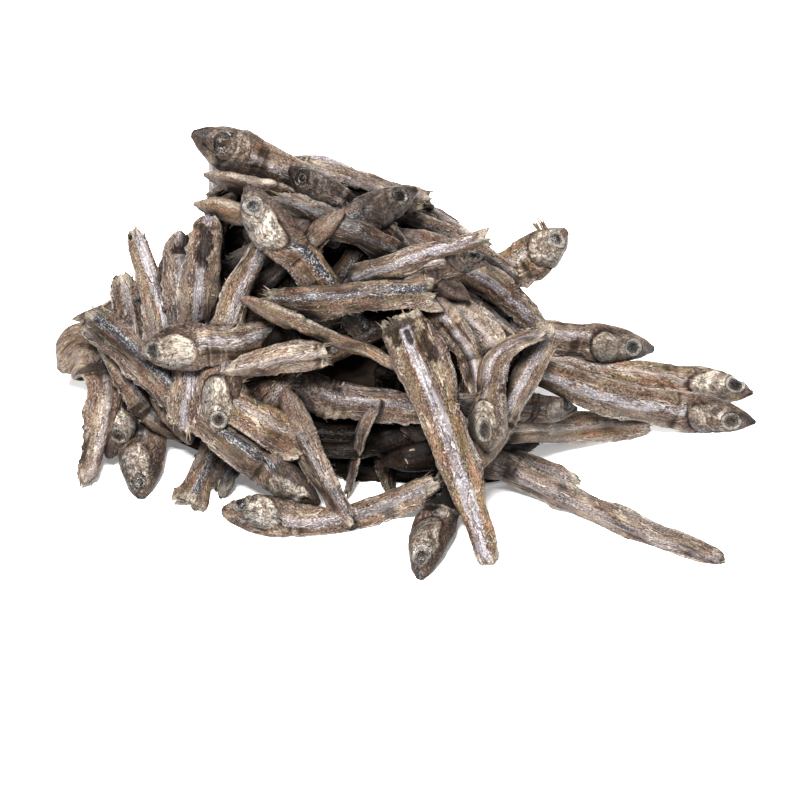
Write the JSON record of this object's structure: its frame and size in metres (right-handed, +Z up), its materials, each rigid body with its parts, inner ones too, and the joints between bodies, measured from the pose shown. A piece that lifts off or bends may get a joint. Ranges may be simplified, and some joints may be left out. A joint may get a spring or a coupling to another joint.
{
  "type": "dried anchovy heap",
  "caption": "Loose heap of small whole dried anchovies with silvery flanks, lying at all angles on a flat surface",
  "frame": {"origin": "middle of the heap's footprint box, on the surface it lies on", "axes": "+X across the heap to the picture's right, +Y away from the picture's viewer, +Z up"},
  "size_m": [0.1652, 0.1314, 0.0701],
  "materials": {
    "dried_fish": "dry, wrinkled, half matt, silvery in places"
  },
  "bodies": {
    "root": {"anchovy_heap": "dried_fish"}
  },
  "joints": []
}
